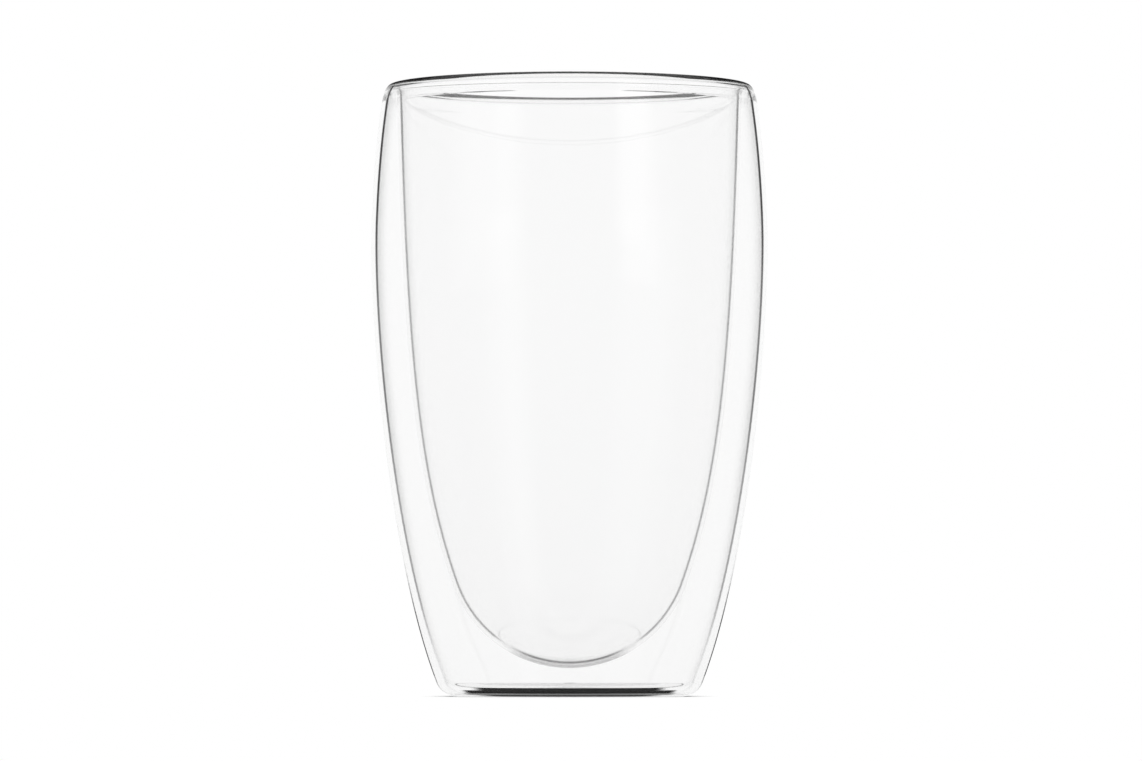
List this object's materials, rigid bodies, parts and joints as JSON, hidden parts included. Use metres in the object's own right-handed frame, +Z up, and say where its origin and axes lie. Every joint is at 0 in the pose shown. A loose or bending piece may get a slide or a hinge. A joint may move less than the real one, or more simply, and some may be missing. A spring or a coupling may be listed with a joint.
{
  "type": "double walled glass cup",
  "caption": "Tall handleless drinking glass with two thin blown walls joined at a rounded rim, sealed air between them and a small flat foot.",
  "frame": {"origin": "centre of the foot, on the table", "axes": "+Z up along the axis of the glass; the glass is round about Z, so X and Y are alike"},
  "size_m": [0.09, 0.09, 0.1387],
  "materials": {
    "shell_glass": "clear, smooth, fire polished",
    "liner_glass": "clear, smooth, fire polished",
    "melted_glass": "clear, smooth, melted round"
  },
  "bodies": {
    "root": {"outer_shell": "shell_glass", "inner_liner": "liner_glass", "rim_seal": "melted_glass", "vent_seal": "melted_glass"}
  },
  "joints": []
}
